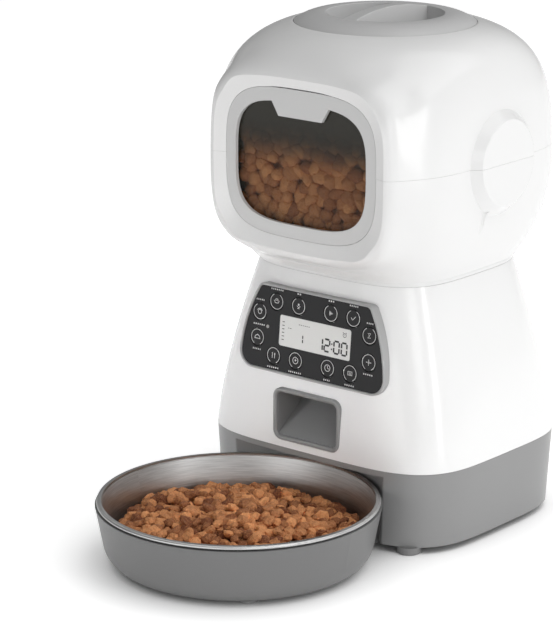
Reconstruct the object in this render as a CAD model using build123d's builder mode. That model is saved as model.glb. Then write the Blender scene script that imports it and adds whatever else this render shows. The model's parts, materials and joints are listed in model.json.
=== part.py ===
"""Automatic pet feeder: a food tank head on a tapered body, with a bowl that pulls out of the base.

Millimetres, +Z up, the front faces -Y. The origin is on the floor, under the middle of the whole object.
The head, the body and the base share one upright axis, and the bowl stands ahead of them.
"""

import os
from math import cos, pi, radians, sin

from build123d import *

os.makedirs("parts", exist_ok=True)

# ---------------------------------------------------------------- driving dimensions

WALL = 2.6                 # moulded shells
GAP = 0.3                  # between pieces that move apart
SEAM = 0.2                 # shadow line between fixed pieces
FINE_SEAM = 0.1            # line between the two head shells

BOWL_RADIUS = 85.0         # outside of the holder's rim
BOWL_REACH = 141.2         # bowl centre ahead of the body axis
BASE_DEPTH = 79.0          # half depth of the base at its top
BODY_Y = (BOWL_REACH + BOWL_RADIUS - BASE_DEPTH) / 2
BOWL_Y = BODY_Y - BOWL_REACH

BASE_FLOOR_Z = 4.5         # lower edge of the base, on its feet
SEAM_Z = 51.1              # base meets body
NECK_Z = 159.4             # body meets collar
HEAD_Z = 162.4             # collar meets head
PARTING_Z = 231.0          # lower head shell meets upper head shell
LID_SEAT_Z = 303.2
LID_Z = 306.0              # rim of the head's mouth
LID_RADIUS = 55.2

BASE_HALF = (91.6, 77.4, 4.1)      # half width, half depth and roundness exponent at the floor
SEAM_HALF = (93.4, BASE_DEPTH, 4.3)
NECK_HALF = (68.6, 64.6, 3.65)

HEAD_HALF = 85.9           # widest half width of the head
HEAD_WIDEST_Z = 221.0
HEAD_TOP_REACH = 87.7      # from the widest level to where the dome would close
HEAD_TOP_POWER = 4.73
HEAD_FOOT_REACH = 98.8
HEAD_FOOT_POWER = 2.02
HEAD_Y = BODY_Y - 4.3

VISOR_Y = BODY_Y - 88.3    # flat plane around the window
VISOR_HALF = (64.0, 53.0)
VISOR_Z = 229.3
VISOR_FADE = 0.2           # share of the visor's size over which it melts into the head

BEZEL_Y = BODY_Y - 85.5
BEZEL_HALF = (56.7, 45.0)
BEZEL_POWER = 3.6
WINDOW_Z = 230.4
WINDOW_HALF = (49.3, 36.8)

EAR_RADIUS = 26.0
EAR_Y = HEAD_Y + 2.3
EAR_REACH = 91.3
EAR_Z = 231.0
GROOVE_TOP = (85.6, 14.3, 28)   # start: out from the middle, in front of and below the disc's axis
GROOVE_FALL_IN = 1.9            # how far it leans into the wall over its length
GROOVE_LENGTH = 15.1
GROOVE_RADIUS = 2.6

PANEL_LEAN = 5.07          # degrees, leaning back
PANEL_OUT = (0, -cos(radians(PANEL_LEAN)), sin(radians(PANEL_LEAN)))
PANEL = Plane(origin=(0, BODY_Y - 72.1, 122.5), x_dir=(1, 0, 0), z_dir=PANEL_OUT)
PANEL_AXIS = Axis((0, 0, 0), PANEL_OUT)
FRAME_WIDTH = 1.4
KEY_RADIUS = 5.4
KEY_GAP = 0.35
KEY_THICKNESS = 2.0
BOARD_DEPTH = 10.4         # front of the circuit board behind the panel's face
DISPLAY_SIZE = (55.2, 19.2)
DISPLAY_AT = (1.1, 0.0)
LAMP_AT = (-35.5, 0.4)

OUTLET_SIZE = (51.5, 32.6)
OUTLET_Z = 72.0
OUTLET_LIP = 2.6
OUTLET_Y = BODY_Y - 79.0

PAN_RADIUS = 50.0
PAN_FLOOR_Z = 126.0
PAN_TOP_Z = 152.0
ROTOR_VANES = 6
SHAFT_RADIUS = 4.0
RUNNING_GAP = 0.06

GEAR_MODULE = 1.0
OUTPUT_TEETH = 36
IDLER_SMALL_TEETH = 12
IDLER_LARGE_TEETH = 32
PINION_TEETH = 10
IDLER_Y = BODY_Y + GEAR_MODULE * (OUTPUT_TEETH + IDLER_SMALL_TEETH) / 2
MOTOR_Y = IDLER_Y + GEAR_MODULE * (IDLER_LARGE_TEETH + PINION_TEETH) / 2

CELL_RADIUS = 17.1
CELL_LENGTH = 61.5
CELL_PITCH = 36.0
CELL_Z = 27.5
CELL_Y = BODY_Y + 26.0

BAY_RADIUS = 86.5            # round bay in the base, around the bowl
BAY_TOP_Z = 47.8
TUNNEL_HALF = 50.0           # deeper and lower bay for the holder's tongue
TUNNEL_BACK_Y = BODY_Y - 50.0
TUNNEL_TOP_Z = 27.4
HOLDER_RIM_Z = 36.8


# ---------------------------------------------------------------- outlines

def rounded_square(half_width, half_depth, power, middle_y, count=36):
    """Points of a rounded square about the upright axis; a higher power is squarer."""
    points = []
    for step in range(count):
        angle = 2 * pi * step / count
        across = abs(cos(angle) / half_width) ** power
        along = abs(sin(angle) / half_depth) ** power
        reach = (across + along) ** (-1 / power)
        points.append((reach * cos(angle), middle_y + reach * sin(angle)))
    return points


def levels(low, high, count):
    """Heights from low to high, closer together towards both ends."""
    middle = (low + high) / 2
    half = (high - low) / 2
    return [middle - half * cos(pi * step / count) for step in range(count + 1)]


def head_outline(z, inset, visor):
    """Ring of the head at one height; visor pulls its front out to the window plane."""
    if z > HEAD_WIDEST_Z:
        reach, power = HEAD_TOP_REACH, HEAD_TOP_POWER
        climb = (z - HEAD_WIDEST_Z) / (LID_Z - HEAD_WIDEST_Z)
        roundness = 4.28 - 2.28 * climb ** 2
        stretch = 1.006 - 0.006 * climb
        middle = HEAD_Y
    else:
        reach, power = HEAD_FOOT_REACH, HEAD_FOOT_POWER
        drop = (HEAD_WIDEST_Z - z) / (HEAD_WIDEST_Z - HEAD_Z)
        roundness = 4.28 - 0.7 * drop ** 2
        stretch = 1.006 - 0.02 * drop
        middle = HEAD_Y + (BODY_Y - HEAD_Y) * drop ** 2
    half = HEAD_HALF * (1 - (abs(z - HEAD_WIDEST_Z) / reach) ** power) ** (1 / power) - inset
    ring = rounded_square(half, half * stretch, roundness, middle, 72 if visor else 36)
    if not visor:
        return ring
    points = []
    for x, y in ring:
        across = (abs(x) / VISOR_HALF[0]) ** 4
        up = (abs(z - VISOR_Z) / VISOR_HALF[1]) ** 4
        away = ((across + up) ** 0.25 - 1) / VISOR_FADE
        share = min(max(away, 0), 1)
        hold = 1 - share * share * (3 - 2 * share)
        if y < middle:
            y = y * (1 - hold) + VISOR_Y * hold
        points.append((x, y))
    return points


def body_half(z):
    """Half width, half depth and roundness of the body at one height."""
    climb = (z - SEAM_Z) / (NECK_Z - SEAM_Z)
    share = 1 - climb ** 1.45
    width = NECK_HALF[0] + (SEAM_HALF[0] - NECK_HALF[0]) * share
    depth = NECK_HALF[1] + (SEAM_HALF[1] - NECK_HALF[1]) * share
    return width, depth, SEAM_HALF[2] + (NECK_HALF[2] - SEAM_HALF[2]) * climb


def base_half(z):
    """Half width, half depth and roundness of the base at one height."""
    climb = (z - BASE_FLOOR_Z) / (SEAM_Z - BASE_FLOOR_Z)
    return tuple(low + (high - low) * climb for low, high in zip(BASE_HALF, SEAM_HALF))


def ring_solid(z_list, ring):
    """Solid through one closed ring of points per height."""
    with BuildPart() as solid:
        for z in z_list:
            with BuildSketch(Plane.XY.offset(z)):
                add(ring_face(ring(z)))
        loft()
    return solid.part


def body_solid(low, high, inset):
    def ring(z):
        width, depth, power = body_half(z)
        return rounded_square(width - inset, depth - inset, power, BODY_Y)
    return ring_solid(levels(low, high, 7), ring)


def base_solid(low, high, inset):
    def ring(z):
        width, depth, power = base_half(z)
        return rounded_square(width - inset, depth - inset, power, BODY_Y)
    return ring_solid([low, high], ring)


def head_solid(low, high, inset, visor):
    return ring_solid(levels(low, high, 18), lambda z: head_outline(z, inset, visor))


def ring_face(points):
    """Sketch bounded by one smooth closed curve."""
    with BuildSketch() as face:
        with BuildLine():
            Spline(*points, periodic=True)
        make_face()
    return face.sketch


def corner_face(points):
    """Sketch bounded by straight lines."""
    with BuildSketch() as face:
        with BuildLine():
            Polyline(*points, close=True)
        make_face()
    return face.sketch


def window_face(half, power=BEZEL_POWER, middle=WINDOW_Z):
    """Rounded rectangle for an upright sketch, whose own Y is the height."""
    return ring_face([(x, middle + y) for x, y in rounded_square(*half, power, 0)])


def upright(y):
    """Plane facing the front at one depth, with its X to the right and its Y up."""
    return Plane(origin=(0, y, 0), x_dir=(1, 0, 0), z_dir=(0, -1, 0))


def grown(half, by):
    return half[0] + by, half[1] + by


def save(piece, name):
    piece.part.label = name
    export_step(piece.part, f"parts/{name}.step")


# ---------------------------------------------------------------- head

with BuildPart() as window_cut:
    slope = (VISOR_HALF[0] - BEZEL_HALF[0]) / (BEZEL_Y - VISOR_Y)
    lead = 3.0
    with BuildSketch(upright(VISOR_Y - lead)):
        add(window_face(grown(VISOR_HALF, slope * lead), 4, VISOR_Z))
    with BuildSketch(upright(BEZEL_Y)):
        add(window_face(BEZEL_HALF))
    loft()
    with BuildSketch(upright(BEZEL_Y - 0.1)):
        add(window_face(BEZEL_HALF))
    extrude(amount=-14)
    # room behind the face for the bezel's flange
    with BuildSketch(upright(BEZEL_Y + 3.2)):
        add(window_face(grown(BEZEL_HALF, 3.8)))
    extrude(amount=-14)

with BuildPart() as head_outside:
    add(head_solid(HEAD_Z, LID_Z, 0, True))
    for side in (-1, 1):
        face = Plane(origin=(0, 0, 0), x_dir=(0, 1, 0), z_dir=(side, 0, 0))
        with BuildSketch(face.offset(83.0)):
            with Locations((EAR_Y, side * EAR_Z)):
                Circle(EAR_RADIUS + 7.4)
        with BuildSketch(face.offset(EAR_REACH)):
            with Locations((EAR_Y, side * EAR_Z)):
                Circle(EAR_RADIUS)
        loft()
    rims = edges().filter_by(GeomType.CIRCLE).group_by(SortBy.RADIUS)[0]
    fillet(rims, 1.2)

with BuildPart() as head_inside:
    add(head_solid(HEAD_Z - 1, LID_SEAT_Z - WALL, WALL, False))

MOUTH_RADIUS = 46.0
SLEEVE_DEPTH = 14.0

with BuildPart() as head_shell:
    add(head_outside.part)
    add(head_inside.part, mode=Mode.SUBTRACT)
    with BuildSketch(Plane.XY.offset(LID_SEAT_Z - SLEEVE_DEPTH)):
        with Locations((0, HEAD_Y)):
            Circle(MOUTH_RADIUS + 2.2)
    extrude(amount=SLEEVE_DEPTH)
    with BuildSketch(Plane.XY.offset(LID_SEAT_Z - SLEEVE_DEPTH - 1)):
        with Locations((0, HEAD_Y)):
            Circle(MOUTH_RADIUS)
    extrude(amount=SLEEVE_DEPTH + 10, mode=Mode.SUBTRACT)
    with BuildSketch(Plane.XY.offset(LID_SEAT_Z)):
        with Locations((0, HEAD_Y)):
            Circle(LID_RADIUS + GAP)
    extrude(amount=10, mode=Mode.SUBTRACT)
    add(window_cut.part, mode=Mode.SUBTRACT)
    # a shallow groove that runs down from the front of each side disc and dies out
    for side in (-1, 1):
        top = (side * GROOVE_TOP[0], EAR_Y - GROOVE_TOP[1], EAR_Z - GROOVE_TOP[2])
        with BuildSketch(Plane(origin=top, z_dir=(side * -GROOVE_FALL_IN, 0, -GROOVE_LENGTH))):
            Circle(GROOVE_RADIUS)
        extrude(amount=GROOVE_LENGTH, mode=Mode.SUBTRACT)

with BuildPart() as head_upper_shell:
    add(head_shell.part)
    split(bisect_by=Plane.XY.offset(PARTING_Z + FINE_SEAM / 2), keep=Keep.TOP)
save(head_upper_shell, "head_upper_shell")

with BuildPart() as head_lower_shell:
    add(head_shell.part)
    split(bisect_by=Plane.XY.offset(PARTING_Z - FINE_SEAM / 2), keep=Keep.BOTTOM)
save(head_lower_shell, "head_lower_shell")

TAB_TOP, TAB_FOOT, TAB_DROP = 43.4, 32.5, 9.0

with BuildPart() as window_bezel:
    # face plate with the window, a tab hanging into it from the top
    with BuildSketch(upright(BEZEL_Y)):
        add(window_face(grown(BEZEL_HALF, -0.2)))
        add(window_face(WINDOW_HALF), mode=Mode.SUBTRACT)
        tab_z = WINDOW_Z + WINDOW_HALF[1]
        tab_side = [(TAB_TOP / 2, tab_z + 2), (TAB_TOP / 2, tab_z), (TAB_FOOT / 2, tab_z - TAB_DROP)]
        add(corner_face(tab_side + [(-x, z) for x, z in reversed(tab_side)]))
    extrude(amount=-2.4)
    # wall around the lens and the flange that holds the bezel from inside
    with BuildSketch(upright(BEZEL_Y + 2.3)):
        add(window_face(grown(BEZEL_HALF, -0.2)))
        add(window_face(grown(BEZEL_HALF, -3.4)), mode=Mode.SUBTRACT)
    extrude(amount=-3.0)
    with BuildSketch(upright(BEZEL_Y + 3.4)):
        add(window_face(grown(BEZEL_HALF, 3.6)))
        add(window_face(grown(BEZEL_HALF, -3.4)), mode=Mode.SUBTRACT)
    extrude(amount=-1.8)
save(window_bezel, "window_bezel")

with BuildPart() as window_lens:
    with BuildSketch(upright(BEZEL_Y + 2.5)):
        add(window_face(grown(BEZEL_HALF, -3.5)))
    extrude(amount=-2.0)
save(window_lens, "window_lens")

FUNNEL_TOP_Z = 186.0
FUNNEL_NECK = 44.0
FUNNEL_WALL = 2.0


def funnel_skin(inset):
    """Funnel from the head's inside down to a round neck, smaller by inset all over."""
    neck = rounded_square(FUNNEL_NECK - inset, FUNNEL_NECK - inset, 2, BODY_Y)
    mouth = head_outline(FUNNEL_TOP_Z, WALL + 0.8 + inset, False)
    with BuildPart() as skin:
        for z, points in ((PAN_TOP_Z + 1, neck), (HEAD_Z, neck), (FUNNEL_TOP_Z, mouth)):
            with BuildSketch(Plane.XY.offset(z)):
                add(ring_face(points))
        loft(ruled=True)
    return skin.part


with BuildPart() as hopper_funnel:
    add(funnel_skin(0))
    add(funnel_skin(FUNNEL_WALL), mode=Mode.SUBTRACT)
save(hopper_funnel, "hopper_funnel")

# ---------------------------------------------------------------- lid

LID_EDGE_Z = 307.0
LID_CROWN_Z = 311.0
LID_CROWN_RADIUS = 37.5
POCKET_RADIUS = 36.0
POCKET_FLOOR_Z = 302.0
BAR_HALF = 6.4
BAR_TOP_Z = 315.0
LID_SKIN = 2.0

with BuildPart() as finger_pockets:
    with BuildSketch(Plane.XY.offset(POCKET_FLOOR_Z)):
        with Locations((0, HEAD_Y)):
            Circle(POCKET_RADIUS - 2.5)
            Rectangle(2 * BAR_HALF + 1.5, 3 * POCKET_RADIUS, mode=Mode.SUBTRACT)
    extrude(amount=20, taper=-14)

with BuildPart() as lid_cover:
    # dome
    with BuildSketch(Plane.XZ.offset(-HEAD_Y)):
        with BuildLine():
            Polyline((0, LID_SEAT_Z + SEAM), (LID_RADIUS, LID_SEAT_Z + SEAM), (LID_RADIUS, LID_EDGE_Z - 1))
            ThreePointArc(
                (LID_RADIUS, LID_EDGE_Z - 1),
                (LID_CROWN_RADIUS + 10, LID_EDGE_Z + 2.9),
                (LID_CROWN_RADIUS - 3, LID_CROWN_Z),
            )
            Polyline((LID_CROWN_RADIUS - 3, LID_CROWN_Z), (0, LID_CROWN_Z + 0.8), (0, LID_SEAT_Z + SEAM))
        make_face()
    revolve(axis=Axis((0, HEAD_Y, 0), (0, 0, 1)))
    # arched finger bar from front to back
    with BuildSketch(Plane.YZ.offset(-BAR_HALF)):
        with BuildLine():
            ThreePointArc(
                (HEAD_Y - 44, LID_CROWN_Z - 2.2),
                (HEAD_Y, BAR_TOP_Z),
                (HEAD_Y + 44, LID_CROWN_Z - 2.2),
            )
            Polyline(
                (HEAD_Y + 44, LID_CROWN_Z - 2.2),
                (HEAD_Y + 44, LID_SEAT_Z + 1),
                (HEAD_Y - 44, LID_SEAT_Z + 1),
                (HEAD_Y - 44, LID_CROWN_Z - 2.2),
            )
        make_face()
    extrude(amount=2 * BAR_HALF)
    # cups of the two pockets under the dome
    with BuildSketch(Plane.XY.offset(POCKET_FLOOR_Z - LID_SKIN)):
        with Locations((0, HEAD_Y)):
            Circle(POCKET_RADIUS - 0.5)
    extrude(amount=LID_SKIN + 3)
    add(finger_pockets.part, mode=Mode.SUBTRACT)
    brims = edges().filter_by(lambda edge: edge.center().Z > LID_EDGE_Z + 1.5)
    fillet(brims, 0.6)
save(lid_cover, "lid_cover")

PLUG_RADIUS = MOUTH_RADIUS - 0.8
PLUG_FLOOR_Z = 292.0

with BuildPart() as lid_plug:
    with BuildSketch(Plane.XY.offset(PLUG_FLOOR_Z)):
        with Locations((0, HEAD_Y)):
            Circle(PLUG_RADIUS)
    extrude(amount=LID_SEAT_Z - PLUG_FLOOR_Z - 0.1)
    with BuildSketch(Plane.XY.offset(PLUG_FLOOR_Z + 2)):
        with Locations((0, HEAD_Y)):
            Circle(PLUG_RADIUS - 7)
    extrude(amount=20, mode=Mode.SUBTRACT)
    # groove for the seal
    with BuildSketch(Plane.XY.offset(PLUG_FLOOR_Z + 3)):
        with Locations((0, HEAD_Y)):
            Circle(PLUG_RADIUS + 1)
            Circle(PLUG_RADIUS - 2, mode=Mode.SUBTRACT)
    extrude(amount=3, mode=Mode.SUBTRACT)
save(lid_plug, "lid_plug")

with BuildPart() as lid_seal:
    with BuildSketch(Plane.XY.offset(PLUG_FLOOR_Z + 3.05)):
        with Locations((0, HEAD_Y)):
            Circle(MOUTH_RADIUS - GAP)
            Circle(PLUG_RADIUS - 1.95, mode=Mode.SUBTRACT)
    extrude(amount=2.9)
save(lid_seal, "lid_seal")

# ---------------------------------------------------------------- body


PANEL_TOP = (41.5, 25.6)       # upper corner, from the panel's middle
PANEL_SIDE = (51.2, 3.0)       # on the bulging side
PANEL_WIDEST = (54.6, -16.5)
PANEL_FOOT = (45.5, -25.6)


def mirrored(point):
    return -point[0], point[1]


def panel_outline(by=0.0):
    """Outline of the key panel in the panel plane, grown all round by a margin."""
    radius = PANEL_WIDEST[1] - PANEL_FOOT[1]
    corner = (PANEL_FOOT[0] + radius * sin(pi / 4), PANEL_WIDEST[1] - radius * sin(pi / 4))
    with BuildSketch() as panel:
        with BuildLine():
            Line(mirrored(PANEL_TOP), PANEL_TOP)
            ThreePointArc(PANEL_TOP, PANEL_SIDE, PANEL_WIDEST)
            ThreePointArc(PANEL_WIDEST, corner, PANEL_FOOT)
            Line(PANEL_FOOT, mirrored(PANEL_FOOT))
            ThreePointArc(mirrored(PANEL_FOOT), mirrored(corner), mirrored(PANEL_WIDEST))
            ThreePointArc(mirrored(PANEL_WIDEST), mirrored(PANEL_SIDE), mirrored(PANEL_TOP))
        make_face()
        fillet(panel.vertices().group_by(Axis.Y)[-1], 3)
        if by:
            offset(amount=by, mode=Mode.REPLACE)
    return panel.sketch


OUTLET_PLANE = upright(OUTLET_Y)


def outlet_face(by=0.0):
    with Locations((0, OUTLET_Z)):
        RectangleRounded(OUTLET_SIZE[0] + 2 * by, OUTLET_SIZE[1] + 2 * by, 6 + by)


with BuildPart() as body_shell:
    add(body_solid(SEAM_Z + SEAM, NECK_Z, 0))
    add(body_solid(SEAM_Z, NECK_Z + 1, WALL), mode=Mode.SUBTRACT)
    with BuildSketch(PANEL.offset(8)):
        add(panel_outline(FRAME_WIDTH + 0.1))
    extrude(amount=-20, mode=Mode.SUBTRACT)
    with BuildSketch(OUTLET_PLANE):
        outlet_face(0.1)
    extrude(amount=-14, mode=Mode.SUBTRACT)
save(body_shell, "body_shell")

with BuildPart() as neck_collar:
    # the white strip under the head, with a deck that carries the funnel and the rotor pan
    with BuildSketch(Plane.XY.offset(NECK_Z + SEAM)):
        add(ring_face(rounded_square(*NECK_HALF, BODY_Y)))
        with Locations((0, BODY_Y)):
            Circle(FUNNEL_NECK + 0.2, mode=Mode.SUBTRACT)
    extrude(amount=HEAD_Z - NECK_Z - 2 * SEAM)
    with BuildSketch(Plane.XY.offset(NECK_Z - 5)):
        with Locations((0, BODY_Y)):
            Circle(PAN_RADIUS + 6)
            Circle(PAN_RADIUS + 3.4, mode=Mode.SUBTRACT)
    extrude(amount=5.5)
save(neck_collar, "neck_collar")

with BuildPart() as panel_frame:
    with BuildSketch(PANEL.offset(0.9)):
        add(panel_outline(FRAME_WIDTH))
        add(panel_outline(), mode=Mode.SUBTRACT)
    extrude(amount=-7)
    fillet(faces().sort_by(PANEL_AXIS)[-1].edges(), 0.5)
save(panel_frame, "panel_frame")

KEY_ROWS = ((29.5, 16.8), (12.4, 16.8), (42.2, 8.5), (43.0, -7.6), (29.6, -16.8), (12.4, -16.8))
KEY_SPOTS = [(side * across, up) for across, up in KEY_ROWS for side in (-1, 1)]

with BuildPart() as panel_plate:
    with BuildSketch(PANEL):
        add(panel_outline(-0.1))
        with Locations(*KEY_SPOTS):
            Circle(KEY_RADIUS + KEY_GAP, mode=Mode.SUBTRACT)
        with Locations(DISPLAY_AT):
            RectangleRounded(*DISPLAY_SIZE, 1.6, mode=Mode.SUBTRACT)
        with Locations(LAMP_AT):
            Circle(1.2, mode=Mode.SUBTRACT)
    extrude(amount=-2.2)
save(panel_plate, "panel_plate")

with BuildPart() as display:
    with BuildSketch(PANEL.offset(-0.4)):
        with Locations(DISPLAY_AT):
            RectangleRounded(DISPLAY_SIZE[0] - 0.3, DISPLAY_SIZE[1] - 0.3, 1.4)
    extrude(amount=-3)
    with BuildSketch(PANEL.offset(-2.4)):
        with Locations(DISPLAY_AT):
            Rectangle(DISPLAY_SIZE[0] + 3, DISPLAY_SIZE[1] + 1)
    extrude(amount=-5)
save(display, "display")

for number, spot in enumerate(KEY_SPOTS, start=1):
    with BuildPart() as key:
        with BuildSketch(PANEL):
            with Locations(spot):
                Circle(KEY_RADIUS)
        extrude(amount=-KEY_THICKNESS)
        chamfer(edges().filter_by(GeomType.CIRCLE).sort_by(PANEL_AXIS)[-1:], 0.3)
        with BuildSketch(PANEL.offset(-KEY_THICKNESS + 0.1)):
            with Locations(spot):
                Circle(1.6)
        extrude(amount=-5.6)
    save(key, f"key_{number:02d}")

with BuildPart() as battery_lamp:
    with BuildSketch(PANEL.offset(-0.1)):
        with Locations(LAMP_AT):
            Circle(1.1)
    extrude(amount=-(BOARD_DEPTH - 0.1))
save(battery_lamp, "battery_lamp")

with BuildPart() as circuit_board:
    with BuildSketch(PANEL.offset(-BOARD_DEPTH)):
        Rectangle(98, 45)
    extrude(amount=-1.6)
    # a dome switch under each key
    with BuildSketch(PANEL.offset(-BOARD_DEPTH + 1.9)):
        with Locations(*KEY_SPOTS):
            Rectangle(5, 5)
    extrude(amount=-2)
    # driver chip and plugs on the back
    with BuildSketch(PANEL.offset(-BOARD_DEPTH - 1.5)):
        Rectangle(14, 10)
        with Locations((-32, -14), (32, 12)):
            Rectangle(12, 6)
    extrude(amount=-3)
save(circuit_board, "circuit_board")

with BuildPart() as microphone:
    with BuildSketch(PANEL.offset(-4.5)):
        with Locations((0, 16.8)):
            Circle(3)
    extrude(amount=-(BOARD_DEPTH - 4.5))
save(microphone, "microphone")

# ---------------------------------------------------------------- outlet

CHUTE_HALF = 23.0
CHUTE_WALL = 2.0
CHUTE_TOP_Z = PAN_FLOOR_Z - 2.0
CHUTE_MOUTH_Y = BODY_Y - 77.0
CHUTE_FLOOR = [(-77, OUTLET_Z - OUTLET_SIZE[1] / 2 + OUTLET_LIP), (-23, 98), (-23, CHUTE_TOP_Z)]
CHUTE_ROOF = [(-50, CHUTE_TOP_Z), (-50, 106), (-62, 88), (-77, OUTLET_Z + OUTLET_SIZE[1] / 2 - OUTLET_LIP)]


def chute_side(by):
    """Side view of the chute's passage, grown by a margin."""
    with BuildSketch() as side:
        with BuildLine():
            Polyline(*[(BODY_Y + y, z) for y, z in CHUTE_FLOOR + CHUTE_ROOF], close=True)
        make_face()
        if by:
            offset(amount=by, kind=Kind.INTERSECTION, mode=Mode.REPLACE)
    return side.sketch


with BuildPart() as chute_outside:
    with BuildSketch(Plane.YZ.offset(-CHUTE_HALF - CHUTE_WALL)):
        add(chute_side(CHUTE_WALL))
    extrude(amount=2 * (CHUTE_HALF + CHUTE_WALL))
    split(bisect_by=Plane.XY.offset(CHUTE_TOP_Z), keep=Keep.BOTTOM)
    split(bisect_by=upright(BODY_Y - 70), keep=Keep.BOTTOM)

with BuildPart() as outlet_chute:
    # lip that stands through the body's front
    with BuildSketch(OUTLET_PLANE):
        outlet_face()
    extrude(amount=-(BODY_Y - OUTLET_Y - 60))
    fillet(faces().sort_by(Axis.Y)[0].edges(), 0.9)
    # passage that climbs to the rotor pan
    add(chute_outside.part)
    with BuildSketch(Plane.YZ.offset(-CHUTE_HALF)):
        add(chute_side(0))
    extrude(amount=2 * CHUTE_HALF, mode=Mode.SUBTRACT)
    with BuildSketch(Plane.XY.offset(CHUTE_TOP_Z - 3)):
        with Locations((0, BODY_Y - 36.5)):
            Rectangle(2 * CHUTE_HALF, 27)
    extrude(amount=6, mode=Mode.SUBTRACT)
    with BuildSketch(OUTLET_PLANE):
        with Locations((0, OUTLET_Z)):
            RectangleRounded(OUTLET_SIZE[0] - 2 * OUTLET_LIP, OUTLET_SIZE[1] - 2 * OUTLET_LIP, 3.5)
    extrude(amount=-(CHUTE_MOUTH_Y - OUTLET_Y + 0.5), mode=Mode.SUBTRACT)
    fillet(faces().sort_by(Axis.Y)[0].inner_wires()[0].edges(), 1.4)
save(outlet_chute, "outlet_chute")

# ---------------------------------------------------------------- rotor and drive

DROP_SIZE = (40.0, 24.0)
DROP_Y = BODY_Y - 35.0

with BuildPart() as rotor_pan:
    with BuildSketch(Plane.XY.offset(PAN_FLOOR_Z)):
        with Locations((0, BODY_Y)):
            Circle(PAN_RADIUS)
    extrude(amount=PAN_TOP_Z - PAN_FLOOR_Z)
    with BuildSketch(Plane.XY.offset(PAN_TOP_Z - 1.5)):
        with Locations((0, BODY_Y)):
            Circle(PAN_RADIUS + 3)
    extrude(amount=1.5)
    with BuildSketch(Plane.XY.offset(PAN_FLOOR_Z + 2.5)):
        with Locations((0, BODY_Y)):
            Circle(PAN_RADIUS - 2.2)
    extrude(amount=40, mode=Mode.SUBTRACT)
    with BuildSketch(Plane.XY.offset(PAN_FLOOR_Z)):
        with Locations((0, DROP_Y)):
            RectangleRounded(*DROP_SIZE, 3)
        with Locations((0, BODY_Y)):
            Circle(SHAFT_RADIUS + 0.4)
    extrude(amount=40, mode=Mode.SUBTRACT)
save(rotor_pan, "rotor_pan")

ROTOR_RADIUS = PAN_RADIUS - 3.2
ROTOR_LOW_Z = PAN_FLOOR_Z + 3.0
ROTOR_TOP_Z = PAN_TOP_Z - 2.0

with BuildPart() as rotor:
    with BuildSketch(Plane.XY.offset(ROTOR_LOW_Z)):
        with Locations((0, BODY_Y)):
            Circle(11)
            with PolarLocations(0, ROTOR_VANES, start_angle=30):
                with Locations((ROTOR_RADIUS / 2, 0)):
                    Rectangle(ROTOR_RADIUS, 2.4)
    extrude(amount=ROTOR_TOP_Z - ROTOR_LOW_Z)
    with BuildSketch(Plane.XY.offset(ROTOR_TOP_Z)):
        with Locations((0, BODY_Y)):
            Circle(11)
    extrude(amount=14, taper=28)
    with BuildSketch(Plane.XY.offset(ROTOR_LOW_Z)):
        with Locations((0, BODY_Y)):
            Circle(SHAFT_RADIUS)
    extrude(amount=16, mode=Mode.SUBTRACT)
save(rotor, "rotor")

HOUSING_Z = 101.0
HOUSING_TOP_Z = 123.6

with BuildPart() as rotor_shaft:
    with BuildSketch(Plane.XY.offset(HOUSING_Z + 2.6)):
        with Locations((0, BODY_Y)):
            Circle(SHAFT_RADIUS)
    extrude(amount=ROTOR_LOW_Z + 15.9 - HOUSING_Z - 2.6)
save(rotor_shaft, "rotor_shaft")


def gear_points(teeth, turn):
    """Closed outline of a gear: for each tooth its two root and two tip corners."""
    pitch = GEAR_MODULE * teeth / 2
    root = pitch - 1.1 * GEAR_MODULE
    tip = pitch + 0.8 * GEAR_MODULE
    points = []
    for tooth in range(teeth):
        middle = radians(turn) + 2 * pi * tooth / teeth
        for radius, half in ((root, -0.9), (tip, -0.32), (tip, 0.32), (root, 0.9)):
            angle = middle + half * GEAR_MODULE / radius
            points.append((radius * cos(angle), radius * sin(angle)))
    return points


def gear_disc(teeth, middle_y, turn):
    return corner_face([(x, middle_y + y) for x, y in gear_points(teeth, turn)])


OUTPUT_Z = 107.0
IDLER_LARGE_Z = 114.6
GEAR_FACE = 5.0

with BuildPart() as output_gear:
    with BuildSketch(Plane.XY.offset(OUTPUT_Z)):
        add(gear_disc(OUTPUT_TEETH, BODY_Y, 90))
        with Locations((0, BODY_Y)):
            Circle(SHAFT_RADIUS, mode=Mode.SUBTRACT)
    extrude(amount=GEAR_FACE)
save(output_gear, "output_gear")

PIN_RADIUS = 2.0

with BuildPart() as idler_gear:
    with BuildSketch(Plane.XY.offset(OUTPUT_Z - 0.5)):
        add(gear_disc(IDLER_SMALL_TEETH, IDLER_Y, 270 + 180 / IDLER_SMALL_TEETH))
    extrude(amount=IDLER_LARGE_Z - OUTPUT_Z + 0.6)
    with BuildSketch(Plane.XY.offset(IDLER_LARGE_Z)):
        add(gear_disc(IDLER_LARGE_TEETH, IDLER_Y, 90))
    extrude(amount=GEAR_FACE - 1)
    with BuildSketch(Plane.XY.offset(OUTPUT_Z - 1)):
        with Locations((0, IDLER_Y)):
            Circle(PIN_RADIUS + RUNNING_GAP)
    extrude(amount=20, mode=Mode.SUBTRACT)
save(idler_gear, "idler_gear")

with BuildPart() as idler_pin:
    with BuildSketch(Plane.XY.offset(HOUSING_Z + 2.5)):
        with Locations((0, IDLER_Y)):
            Circle(PIN_RADIUS)
    extrude(amount=HOUSING_TOP_Z - HOUSING_Z - 3)
save(idler_pin, "idler_pin")

MOTOR_SHAFT = 1.15

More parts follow.
